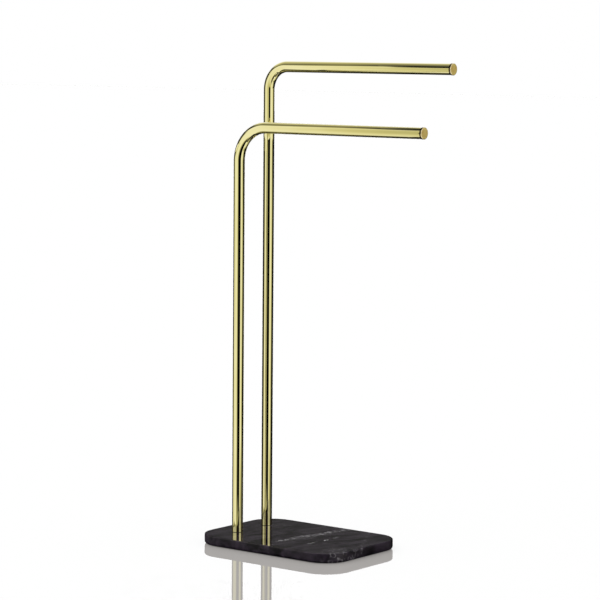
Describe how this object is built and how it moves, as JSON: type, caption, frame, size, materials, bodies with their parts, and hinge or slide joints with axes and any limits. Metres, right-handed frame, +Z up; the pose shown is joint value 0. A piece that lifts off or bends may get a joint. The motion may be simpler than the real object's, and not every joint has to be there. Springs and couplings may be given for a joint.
{
  "type": "towel stand",
  "caption": "Freestanding towel stand: bent brass tubes with level arms, one higher than the other, rise from a polished black marble plate.",
  "frame": {"origin": "on the floor, in the middle of the whole stand's footprint box", "axes": "+X along the arms towards their capped ends, +Y to the rear, on the side of the higher arm, +Z up"},
  "size_m": [0.435, 0.208, 0.835],
  "materials": {
    "marble": "polished black marble with faint light veins",
    "brass_tube": "mirror polished brass",
    "brass_cap": "fine turned and polished brass",
    "zinc_steel": "zinc plated steel",
    "black_rubber": "matt black rubber"
  },
  "bodies": {
    "root": {"marble_plate": "marble", "front_rail": "brass_tube", "front_rail_end_cap": "brass_cap", "front_rail_foot_insert": "zinc_steel", "front_rail_seat_ring": "black_rubber", "rear_rail": "brass_tube", "rear_rail_end_cap": "brass_cap", "rear_rail_foot_insert": "zinc_steel", "rear_rail_seat_ring": "black_rubber", "fixing_screws": "zinc_steel", "spring_washers": "zinc_steel", "steel_washers": "zinc_steel", "rubber_washers": "black_rubber", "pad_front_left": "black_rubber", "pad_front_right": "black_rubber", "pad_rear_left": "black_rubber", "pad_rear_right": "black_rubber"}
  },
  "joints": []
}
